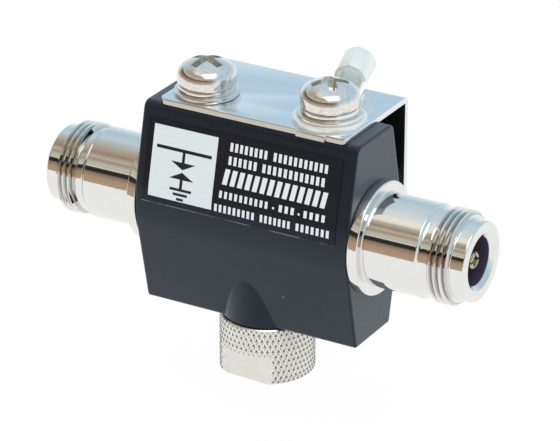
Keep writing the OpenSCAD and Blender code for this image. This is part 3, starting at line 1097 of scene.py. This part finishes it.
@dataclass(frozen=True)
class Finishes:
    """Every finish of the part, named for the piece that shows it."""

    housing: Finish = CastPaint(
        "housing_black", (0.006, 0.009, 0.015), (0.009, 0.012, 0.019), (0.25, 0.31), 90.0, 0.012
    )
    film: Finish = PrintedFilm(
        "label_film", (0.006, 0.007, 0.013), (0.008, 0.009, 0.015), (0.24, 0.3), 120.0, 0.003
    )
    jack: Finish = BoredMetal(
        "jack_nickel", (0.81, 0.81, 0.79), (0.78, 0.775, 0.75), (0.04, 0.07), 240.0, 0.0012
    )
    bracket: Finish = SheetMetal(
        "bracket_polished", (0.81, 0.84, 0.87), (0.78, 0.82, 0.85), (0.17, 0.23), 150.0, 0.0008,
        (60.0, 900.0, 900.0),
    )
    screw: Finish = Metal(
        "screw_nickel", (0.83, 0.82, 0.8), (0.72, 0.7, 0.67), (0.12, 0.24), 1800.0, 0.0035, SPECKLED
    )
    washer: Finish = Metal(
        "washer_nickel", (0.84, 0.83, 0.8), (0.78, 0.76, 0.72), (0.1, 0.16), 700.0, 0.001, SPECKLED
    )
    terminal: Finish = Metal(
        "terminal_tin", (0.88, 0.91, 0.89), (0.82, 0.85, 0.83), (0.32, 0.42), 420.0, 0.003,
        (900.0, 260.0, 900.0), 0.55,
    )
    cap: Finish = KnurledMetal(
        "cap_nickel", (0.78, 0.78, 0.73), (0.72, 0.72, 0.67), (0.16, 0.24), 500.0, 0.0012, SPECKLED
    )
    # The contact's tint is its plating's dull colour, darkened further as painted shade for its place deep
    # in the bore.
    contact: Finish = Metal(
        "contact_plated", (0.55, 0.51, 0.4), (0.45, 0.41, 0.32), (0.26, 0.36), 600.0, 0.002
    )
    # The insulators' dark colour is painted shade deep in the bores.
    insulator: Finish = Finish("insulator_dark", (0.05, 0.048, 0.07), (0.06, 0.056, 0.08), (0.45, 0.55))
    conductor: Finish = Metal(
        "conductor_brass", (0.78, 0.6, 0.28), (0.7, 0.52, 0.24), (0.2, 0.3), 300.0, 0.003
    )
    electrode: Finish = Metal(
        "electrode_nickel", (0.74, 0.75, 0.76), (0.66, 0.67, 0.68), (0.2, 0.3), 300.0, 0.003
    )
    ceramic: Finish = Finish("ceramic_white", (0.86, 0.84, 0.78), (0.8, 0.78, 0.72), (0.5, 0.6))
    spring: Finish = Metal(
        "spring_steel", (0.62, 0.63, 0.65), (0.55, 0.56, 0.58), (0.2, 0.3), 400.0, 0.002
    )
    seal: Finish = Finish("seal_black", (0.009, 0.009, 0.011), (0.013, 0.013, 0.015), (0.5, 0.65))


class Dresser:
    """Puts finishes on pieces and ties them to their bodies."""

    def __init__(self, nodes: dict[str, Piece]) -> None:
        """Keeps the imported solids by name."""
        self.nodes = nodes

    @staticmethod
    def cover(piece: Piece, finish: Finish) -> None:
        """Gives a piece its finish alone."""
        piece.data.materials.clear()
        piece.data.materials.append(finish.material())

    def paint(self, node: str, finish: Finish) -> None:
        """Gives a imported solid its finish."""
        self.cover(self.nodes[node], finish)
        LOG.info("%s keeps its solid, in %s", node, finish.slot)

    def stand_in(self, piece: Piece, node: str, body: str, finish: Finish) -> None:
        """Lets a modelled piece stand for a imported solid.

        Args:
            piece: The modelled piece.
            node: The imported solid's name.
            body: The body that it rides on.
            finish: Its finish.
        """
        self.cover(piece, finish)
        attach(piece, body)
        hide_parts(node)
        LOG.info("%s stands for %s, in %s", piece.name, node, finish.slot)

    def refine(
        self, node: str, body: str, finish: Finish, width: float, degrees: float = CREASE_DEGREES
    ) -> None:
        """Stands a copy of a solid with eased edges in its place.

        Args:
            node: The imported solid's name.
            body: The body that it rides on.
            finish: Its finish.
            width: Width of the eased edges, in millimetres, or 0 for none.
            degrees: Faces that meet at less than this are shaded smooth.
        """
        piece = Bench.twin(self.nodes[node], node + "_finished")
        if width > 0.0:
            Bench.eased(piece, width)
        Bench.smooth(piece, degrees)
        self.stand_in(piece, node, body, finish)


@dataclass
class Jacks:
    """The two turned jacks, with their coupling threads."""

    shank_rear: float = 11.05
    housing_end: float = 20.05
    flange_front: float = 21.8
    body_front: float = 31.35
    thread_rear: float = 33.2
    thread_front: float = 37.1
    lip_front: float = 39.5
    bead_front: float = 30.5
    bead_r: float = 5.02
    shank_r: float = 6.5
    flange_r: float = 9.6
    body_r: float = 7.9
    relief_r: float = 7.35
    relief_drop: float = 0.35
    relief_rounds: Span = (0.8, 0.5)
    relief_end: float = 0.1
    root_lead: float = 0.25
    thread_r: float = 7.9375
    root_r: float = 7.25
    lip_r: float = 6.75
    lip_round: float = 0.4
    bore_r: float = 4.05
    mouth_r: float = 4.85
    pitch: float = 1.058
    thread_turns: int = 6
    thread_sink: float = 0.12
    end_sink: float = 0.1
    thread_lead: float = -0.7
    thread_runs: Runs = (0.0, 0.45, -0.5, -0.02)
    edge: float = 0.2
    soft_edge: float = 0.3
    fine_edge: float = 0.12
    foot_round: float = 0.25
    bore_round: float = 0.1
    contact_edge: float = 0.06

    def thread(self) -> Thread:
        """Gives the coupling thread.

        Returns:
            The thread.
        """
        return Thread(
            root=self.root_r - self.thread_sink,
            crest=self.thread_r,
            end_r=self.root_r - self.end_sink,
            pitch=self.pitch,
            turns=self.thread_turns,
            span=(self.thread_rear, self.thread_front),
            lead=self.thread_lead,
            runs=self.thread_runs,
        )

    def build(self) -> Piece:
        """Turns one jack and winds its thread.

        Returns:
            The right jack.
        """
        spindle = Spindle(Lie.LINE, (0.0, 0.0, AXIS_Z))
        jack = Bench.turned(
            "right_jack_threaded",
            [
                (self.bead_r, self.shank_rear, 0.0),
                (self.shank_r, self.shank_rear, self.edge),
                (self.shank_r, self.housing_end, 0.0),
                (self.flange_r, self.housing_end, self.edge),
                (self.flange_r, self.flange_front, self.soft_edge),
                (self.body_r, self.flange_front, self.foot_round),
                (self.body_r, self.body_front, self.soft_edge),
                (self.relief_r, self.body_front + self.relief_drop, self.relief_rounds[0]),
                (self.relief_r, self.thread_rear - self.relief_end, self.relief_rounds[1]),
                (self.root_r, self.thread_rear + self.root_lead, 0.0),
                (self.root_r, self.thread_front, 0.0),
                (self.lip_r, self.thread_front, self.fine_edge),
                (self.lip_r, self.lip_front, self.lip_round),
                (self.mouth_r, self.lip_front, self.fine_edge),
                (self.bore_r, self.lip_front - self.mouth_r + self.bore_r, self.bore_round),
                (self.bore_r, self.bead_front, 0.0),
                (self.bead_r, self.bead_front, 0.0),
                (self.bead_r, self.shank_rear, 0.0),
            ],
            spindle,
        )
        self.thread().wind(jack, spindle)
        Bench.seal(jack)
        Bench.smooth(jack)
        return jack

    def dress(self, dresser: Dresser, finishes: Finishes) -> None:
        """Builds both jacks and dresses what is in and between them.

        Args:
            dresser: Puts the finishes on.
            finishes: The part's finishes.
        """
        right = self.build()
        left = Bench.copy(right, "left_jack_threaded")
        left.rotation_euler.z = math.pi
        Bench.settle(left)
        dresser.stand_in(right, "right_jack", "arrestor", finishes.jack)
        dresser.stand_in(left, "left_jack", "arrestor", finishes.jack)
        dresser.paint("center_conductor", finishes.conductor)
        for side in ("left", "right"):
            dresser.paint(side + "_insulator", finishes.insulator)
            dresser.refine(side + "_contact", "arrestor", finishes.contact, self.contact_edge)


@dataclass
class ScrewCap:
    """The knurled cap with its wrench flats, threaded neck and cup."""

    head_r: float = 8.1
    head_h: float = 10.2
    knurl_depth: float = 0.32
    groove: float = 0.35
    end_groove: float = 0.24
    low_edge: float = 0.25
    top_edge: float = 0.12
    columns: int = 54
    rows: int = 5
    flats: float = 12.5
    flats_turn: float = -3.0
    flat_h: float = 5.4
    cutter_w: float = 20.0
    cutter_spare: float = 1.0
    neck_r: float = 5.5
    neck_top: float = 18.7
    neck_sunk: float = 3.0
    thread_depth: float = 0.55
    cup_r: float = 3.9
    cup_floor: float = 12.5
    cup_edge: float = 0.2
    soft_edge: float = 0.3
    pitch: float = 1.0
    thread_turns: int = 8
    thread_sink: float = 0.1
    thread_lead: float = 0.4
    thread_runs: Runs = (0.1, 0.6, -0.7, -0.15)
    crease_degrees: float = 20.0

    def knurl(self) -> Piece:
        """Models the head with its diamond knurl.

        Returns:
            The head, as one closed mesh.
        """
        root = self.head_r - self.knurl_depth
        tall = self.head_h - self.low_edge - self.top_edge
        Bench.clear()
        bpy.ops.mesh.primitive_cylinder_add(
            vertices=self.columns, radius=root * MM, depth=tall * MM, end_fill_type="NOTHING",
            location=(0.0, 0.0, (self.low_edge + tall / 2.0) * MM),
        )
        head = bpy.context.object
        head.name = "screw_cap_knurled"
        Bench.settle(head)
        Bench.choose(head, Kind.EDGE, lambda edge: self.leap(head, edge).z > MM)
        bpy.ops.mesh.subdivide(number_cuts=self.rows - 1)
        bpy.ops.mesh.select_all(action="SELECT")
        bpy.ops.mesh.poke()
        Bench.leave()
        uses = [key for face in head.data.polygons for key in face.edge_keys]
        inner = {key for key, count in Counter(uses).items() if count == 2}
        Bench.choose(head, Kind.EDGE, lambda edge: edge.key in inner and self.square(head, edge))
        bpy.ops.mesh.dissolve_edges(use_verts=False)
        for corners, width in ((4, self.groove), (3, self.end_groove)):
            Bench.choose(head, Kind.FACE, lambda face: len(face.vertices) == corners)
            bpy.ops.mesh.inset(thickness=width * MM, depth=self.knurl_depth * MM, use_individual=True)
        self.close(head)
        return head

    @staticmethod
    def leap(head: Piece, edge: bpy.types.MeshEdge) -> Vector:
        """Gives how far an edge runs along X, Y and Z."""
        first, second = (head.data.vertices[index].co for index in edge.vertices)
        return Vector(abs(step) for step in first - second)

    @staticmethod
    def square(head: Piece, edge: bpy.types.MeshEdge) -> bool:
        """Tells whether an edge runs level or upright, so that it isn't a side of a diamond."""
        leap = ScrewCap.leap(head, edge)
        return leap.z < LEVEL_GAP * MM or leap.xy.length < LEVEL_GAP * MM

    @staticmethod
    def lies_at(head: Piece, edge: bpy.types.MeshEdge, level: float) -> bool:
        """Tells whether both ends of an edge lie at a height in millimetres."""
        heights = [head.data.vertices[index].co.z for index in edge.vertices]
        return all(abs(height - level * MM) < LEVEL_GAP * MM for height in heights)

    def close(self, head: Piece) -> None:
        """Carries the knurl's two open ends in over a chamfer and closes them.

        Args:
            head: The knurled band.
        """
        top = self.head_h - self.top_edge
        for level, way, edge in ((self.low_edge, -1.0, self.low_edge), (top, 1.0, self.top_edge)):
            share = 1.0 - edge / (self.head_r - self.knurl_depth)
            Bench.choose(head, Kind.EDGE, lambda side: self.lies_at(head, side, level))
            bpy.ops.mesh.extrude_region_move(TRANSFORM_OT_translate={"value": (0.0, 0.0, way * edge * MM)})
            bpy.ops.transform.resize(value=(share, share, 1.0), center_override=(0.0, 0.0, 0.0))
            bpy.ops.mesh.edge_face_add()
        Bench.leave()

    def thread(self, root: float) -> Thread:
        """Gives the neck's thread.

        Args:
            root: Radius of the neck's core.

        Returns:
            The thread.
        """
        return Thread(
            root=root - self.thread_sink,
            crest=self.neck_r,
            end_r=root,
            pitch=self.pitch,
            turns=self.thread_turns,
            span=(self.head_h, self.neck_top),
            lead=self.thread_lead,
            runs=self.thread_runs,
        )

    def build(self) -> Piece:
        """Models the whole cap.

        Returns:
            The cap.
        """
        spindle = Spindle(Lie.UPRIGHT, (0.0, 0.0, 0.0))
        cap = self.knurl()
        Bench.seal(cap)
        for side in (0.0, 180.0):
            Bench.fit(cap, self.flat_cutter(self.flats_turn + side), Join.CUT)
        root = self.neck_r - self.thread_depth
        foot = self.cup_floor - self.neck_sunk
        neck = Bench.turned(
            "cap_neck",
            [
                (0.0, foot, 0.0),
                (root, foot, 0.0),
                (root, self.neck_top, self.soft_edge),
                (self.cup_r, self.neck_top, self.cup_edge),
                (self.cup_r, self.cup_floor, self.soft_edge),
                (0.0, self.cup_floor, 0.0),
            ],
            spindle,
        )
        self.thread(root).wind(neck, spindle)
        Bench.fit(cap, neck, Join.ADD)
        Bench.seal(cap)
        Bench.smooth(cap, self.crease_degrees)
        return cap

    def flat_cutter(self, turn: float) -> Piece:
        """Models the cutter of one wrench flat.

        Args:
            turn: Its turn about the cap's axis, in degrees.

        Returns:
            The cutter.
        """
        depth = self.head_r - self.flats / 2.0 + self.cutter_spare
        reach = self.flats / 2.0 + depth / 2.0
        way = math.radians(turn)
        level = self.flat_h / 2.0 - self.cutter_spare / 2.0
        size = (self.cutter_w, depth, self.flat_h + self.cutter_spare)
        place = (-reach * math.sin(way), reach * math.cos(way), level)
        return Bench.block("flat_cutter", size, place, turn)

    def dress(self, dresser: Dresser, finishes: Finishes) -> None:
        """Builds the cap and dresses what it holds.

        Args:
            dresser: Puts the finishes on.
            finishes: The part's finishes.
        """
        dresser.stand_in(self.build(), "screw_cap", "cap", finishes.cap)
        dresser.paint("cap_seal", finishes.seal)
        dresser.paint("gas_tube_upper_electrode", finishes.electrode)
        dresser.paint("gas_tube_lower_electrode", finishes.electrode)
        dresser.paint("gas_tube_ceramic", finishes.ceramic)
        dresser.refine("tube_spring", "tube_carriage", finishes.spring, 0.0)


@dataclass
class TerminalScrews:
    """The two pan-head screws with their washers."""

    spacing: float = 23.1
    plate_top_z: float = 47.3
    ring_t: float = 0.9
    washers_t: float = 1.7
    washer_edge: float = 0.16
    head_r: float = 4.95
    head_h: float = 4.35
    head_round: float = 2.2
    crown_r: float = 7.5
    foot_round: float = 0.45
    shank_r: float = 2.5
    shank_l: float = 12.0
    shank_edge: float = 0.3
    thread_depth: float = 0.45
    pitch: float = 0.8
    thread_turns: int = 15
    thread_sink: float = 0.1
    thread_lead: float = -0.2
    thread_runs: Runs = (0.05, 0.7, -1.2, -0.6)
    recess_span: float = 7.6
    recess_floor: float = 4.6
    recess_w: float = 1.8
    recess_l: float = 2.3
    recess_spare: float = 1.0
    left_turn: float = 75.0
    right_turn: float = 41.0
    steps: int = 96
    dome_steps: int = 8

    def thread(self, root: float) -> Thread:
        """Gives the shank's thread.

        Args:
            root: Radius of the shank's core.

        Returns:
            The thread.
        """
        return Thread(
            root=root - self.thread_sink,
            crest=self.shank_r,
            end_r=root - self.thread_sink,
            pitch=self.pitch,
            turns=self.thread_turns,
            span=(-self.shank_l, 0.0),
            lead=self.thread_lead,
            runs=self.thread_runs,
        )

    def build(self) -> Piece:
        """Models one screw about the origin, with its head's seat at height 0.

        Returns:
            The screw.
        """
        spindle = Spindle(Lie.UPRIGHT, (0.0, 0.0, 0.0))
        root = self.shank_r - self.thread_depth
        screw = Bench.turned(
            "left_screw_threaded",
            [
                (0.0, -self.shank_l, 0.0),
                (root, -self.shank_l, self.shank_edge),
                (root, 0.0, 0.0),
                (self.head_r, 0.0, self.foot_round),
                *self.dome(),
            ],
            spindle,
            self.steps,
        )
        for turn in (0.0, 90.0):
            Bench.fit(screw, self.recess_arm(self.left_turn + turn), Join.CUT)
        self.thread(root).wind(screw, spindle, self.steps)
        Bench.seal(screw)
        Bench.smooth(screw)
        return screw

    def dome(self) -> list[Triple]:
        """Draws the head's outline from its shoulder over its crown to the axis.

        Returns:
            The outline's points.
        """
        middle = self.head_r - self.head_round
        low = self.head_h - self.crown_r
        level = low + math.sqrt((self.crown_r - self.head_round) ** 2 - middle**2)
        lean = math.acos(middle / (self.crown_r - self.head_round))
        rest = math.pi / 2.0 - lean
        shares = [step / self.dome_steps for step in range(self.dome_steps + 1)]
        arcs = [(middle, level, self.head_round, lean * share) for share in shares]
        arcs += [(0.0, low, self.crown_r, lean + rest * share) for share in shares[1:]]
        return [(out + r * math.cos(turn), up + r * math.sin(turn), 0.0) for out, up, r, turn in arcs]

    def recess_arm(self, turn: float) -> Piece:
        """Models the cutter of one pair of the cross recess's arms, narrower at its floor.

        Args:
            turn: Its turn about the screw's axis, in degrees.

        Returns:
            The cutter.
        """
        tall = self.recess_l + self.recess_spare
        place = (0.0, 0.0, self.head_h - self.recess_l + tall / 2.0)
        arm = Bench.block("recess_arm", (self.recess_span, self.recess_w, tall), place, turn)
        Bench.choose(arm, Kind.FACE, lambda face: face.normal.z < DOWNWARD)
        share = self.recess_floor / self.recess_span
        bpy.ops.transform.resize(value=(share, share, 1.0), center_override=(0.0, 0.0, 0.0))
        Bench.leave()
        return arm

    def dress(self, dresser: Dresser, finishes: Finishes) -> None:
        """Builds both screws and dresses the washers.

        Args:
            dresser: Puts the finishes on.
            finishes: The part's finishes.
        """
        left = self.build()
        right = Bench.copy(left, "right_screw_threaded")
        right.rotation_euler.z = math.radians(self.right_turn - self.left_turn)
        seat = self.plate_top_z + self.washers_t
        Bench.settle(left, (-self.spacing / 2.0, 0.0, seat))
        Bench.settle(right, (self.spacing / 2.0, 0.0, seat + self.ring_t))
        dresser.stand_in(left, "left_screw", "left_terminal_screw", finishes.screw)
        dresser.stand_in(right, "right_screw", "right_terminal_screw", finishes.screw)
        for side in ("left", "right"):
            for washer in ("_spring_washer", "_flat_washer"):
                dresser.refine(side + washer, side + "_washers", finishes.washer, self.washer_edge)


@dataclass
class Body:
    """The casting with its label, the ground bracket and the ring terminal."""

    bracket_edge: float = 0.16
    terminal_edge: float = 0.14
    crease_degrees: float = 12.0

    def dress(self, dresser: Dresser, finishes: Finishes) -> None:
        """Dresses the pieces that don't move.

        Args:
            dresser: Puts the finishes on.
            finishes: The part's finishes.
        """
        dresser.refine("housing", "arrestor", finishes.housing, 0.0, self.crease_degrees)
        dresser.paint("front_label", finishes.film)
        dresser.refine("ground_bracket", "arrestor", finishes.bracket, self.bracket_edge)
        dresser.refine("ring_terminal", "arrestor", finishes.terminal, self.terminal_edge)


@dataclass(frozen=True)
class Band:
    """One stop of the studio's surroundings: a height over the horizon and a colour."""

    degrees: float
    colour: Colour


@dataclass
class Studio:
    """The floor, the light round the part and the camera."""

    floor_z: float = -8.0
    floor_size: float = 1200.0
    floor_back: float = 360.0
    floor_glow: float = 0.95
    floor_grey: Colour = (0.9, 0.9, 0.9)
    white: Colour = (1.0, 1.0, 1.0)
    lamp_place: Triple = (158.0, -153.0, 443.0)
    lamp_size: float = 320.0
    lamp_watts: float = 0.45
    azimuth: float = 29.828
    elevation: float = 24.786
    roll: float = 0.176
    distance: float = 537.97
    target: Triple = (2.112, 0.405, -1.514)
    focal_px: float = 3254.86
    image_px: float = 560.0
    sensor: float = 36.0
    clip: Span = (10.0, 20000.0)
    ahead: Triple = (-0.45, -0.89, 0.0)
    blend: Span = (-0.1, 0.3)
    front: tuple[Band, ...] = (
        Band(-90.0, (1.0, 1.0, 1.0)),
        Band(-16.0, (1.0, 1.0, 1.0)),
        Band(-14.0, (0.3, 0.26, 0.2)),
        Band(-11.5, (0.8, 0.78, 0.66)),
        Band(-9.5, (0.5, 0.46, 0.38)),
        Band(-7.0, (0.52, 0.37, 0.25)),
        Band(6.0, (0.46, 0.32, 0.22)),
        Band(14.0, (0.28, 0.2, 0.145)),
        Band(17.0, (0.03, 0.025, 0.025)),
        Band(24.0, (0.03, 0.025, 0.025)),
        Band(26.0, (0.85, 0.87, 0.75)),
        Band(28.5, (0.5, 0.48, 0.41)),
        Band(31.0, (0.62, 0.61, 0.49)),
        Band(35.0, (0.55, 0.5, 0.4)),
        Band(39.0, (0.39, 0.32, 0.24)),
        Band(44.0, (0.58, 0.51, 0.4)),
        Band(50.0, (0.36, 0.27, 0.21)),
        Band(55.0, (0.5, 0.43, 0.34)),
        Band(58.0, (0.52, 0.5, 0.4)),
        Band(62.0, (0.95, 0.9, 0.8)),
        Band(68.0, (0.97, 0.95, 0.86)),
        Band(75.0, (0.72, 0.81, 0.84)),
        Band(90.0, (0.66, 0.77, 0.83)),
    )
    back: tuple[Band, ...] = (
        Band(-90.0, (1.0, 1.0, 1.0)),
        Band(-6.0, (1.0, 1.0, 1.0)),
        Band(4.0, (0.78, 0.9, 0.97)),
        Band(30.0, (0.5, 0.68, 0.8)),
        Band(55.0, (0.64, 0.77, 0.85)),
        Band(90.0, (0.66, 0.77, 0.83)),
    )

    def build(self) -> None:
        """Sets the whole studio."""
        bpy.context.scene.view_settings.view_transform = "Standard"
        self.floor()
        self.surroundings()
        self.lamp()
        self.camera()

    def floor(self) -> None:
        """Lays a plain white floor that stays clear of the unscrewed cap."""
        Bench.clear()
        bpy.ops.mesh.primitive_plane_add(
            size=self.floor_size * MM, location=Vector((0.0, self.floor_back, self.floor_z)) * MM
        )
        floor = bpy.context.object
        floor.name = "studio_floor"
        material = bpy.data.materials.new("studio_floor")
        material.use_nodes = True
        tree = Tree(material.node_tree)
        tree.tree.nodes.remove(tree.tree.nodes["Principled BSDF"])
        path = tree.add("LightPath").outputs
        seen = tree.math("MAXIMUM", path["Is Camera Ray"], path["Is Glossy Ray"])
        seen = tree.math("MAXIMUM", seen, path["Is Transmission Ray"])
        plain = tree.add("BsdfDiffuse", {0: (*self.floor_grey, 1.0)}).outputs[0]
        bright = tree.add("Emission", {0: (*self.white, 1.0), 1: 1.0}).outputs[0]
        both = tree.add("MixShader", {0: tree.times(seen, self.floor_glow), 1: plain, 2: bright})
        tree.feed(tree.tree.nodes["Material Output"], 0, both.outputs[0])
        floor.data.materials.append(material)

    @staticmethod
    def ramp(tree: Tree, height: Socket, bands: Sequence[Band]) -> Socket:
        """Adds a ramp of colours over the height above the horizon.

        Args:
            tree: The world's tree.
            height: The height as a share from straight down to straight up.
            bands: The colours.

        Returns:
            The colour.
        """
        node = tree.add("ValToRGB", {0: height})
        stops = node.color_ramp.elements
        while len(stops) < len(bands):
            stops.new(0.5)
        for stop, band in zip(stops, bands):
            stop.position = (math.sin(math.radians(band.degrees)) + 1.0) / 2.0
            stop.color = (*band.colour, 1.0)
        return node.outputs[0]

    def surroundings(self) -> None:
        """Sets a white background and the bright and dark surroundings that the metal mirrors."""
        world = bpy.data.worlds.new("studio")
        bpy.context.scene.world = world
        world.use_nodes = True
        tree = Tree(world.node_tree)
        way = tree.add("TexCoord").outputs["Generated"]
        height = tree.spread(tree.part(way, 2), -1.0, 1.0, 0.0, 1.0)
        ahead = tree.add("VectorMath", {0: way, 1: self.ahead}, operation="DOT_PRODUCT").outputs["Value"]
        ahead = tree.spread(ahead, *self.blend, 0.0, 1.0)
        mirrored = tree.mix(ahead, self.ramp(tree, height, self.back), self.ramp(tree, height, self.front))
        path = tree.add("LightPath").outputs
        shiny = tree.math("MAXIMUM", path["Is Glossy Ray"], path["Is Transmission Ray"])
        background = tree.tree.nodes["Background"]
        tree.feed(background, "Strength", 1.0)
        tree.feed(background, "Color", tree.mix(shiny, self.white, mirrored))

    def lamp(self) -> None:
        """Adds a square softbox that faces the part."""
        Bench.clear()
        bpy.ops.object.light_add(type="AREA", location=Vector(self.lamp_place) * MM)
        lamp = bpy.context.object
        lamp.name = "key_softbox"
        lamp.data.size = self.lamp_size * MM
        lamp.data.energy = self.lamp_watts
        aim = Vector((0.0, 0.0, AXIS_Z)) - Vector(self.lamp_place)
        lamp.rotation_euler = aim.to_track_quat("-Z", "Y").to_euler()

    def camera(self) -> None:
        """Sets the camera at the photograph's place."""
        data = bpy.data.cameras.new("studio_camera")
        data.sensor_fit = "HORIZONTAL"
        data.sensor_width = self.sensor
        data.lens = self.focal_px / self.image_px * self.sensor
        data.clip_start, data.clip_end = (reach * MM for reach in self.clip)
        camera = bpy.data.objects.new("studio_camera", data)
        bpy.context.scene.collection.objects.link(camera)
        turn, rise = math.radians(self.azimuth), math.radians(self.elevation)
        back = Vector((math.sin(turn) * math.cos(rise), -math.cos(turn) * math.cos(rise), math.sin(rise)))
        target = Vector(self.target) + Vector((0.0, 0.0, AXIS_Z))
        place = Matrix.Translation((target + back * self.distance) * MM)
        aim = back.to_track_quat("Z", "Y").to_matrix().to_4x4()
        camera.matrix_world = place @ aim @ Matrix.Rotation(math.radians(self.roll), 4, "Z")
        bpy.context.scene.camera = camera


def main() -> None:
    """Builds the pieces in order and sets the studio."""
    logging.basicConfig(level=logging.INFO, format="%(message)s")
    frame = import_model()
    dresser = Dresser(frame["nodes"])
    finishes = Finishes()
    Body().dress(dresser, finishes)
    Jacks().dress(dresser, finishes)
    ScrewCap().dress(dresser, finishes)
    TerminalScrews().dress(dresser, finishes)
    Studio().build()
    Bench.clear()


if __name__ == "__main__":
    main()
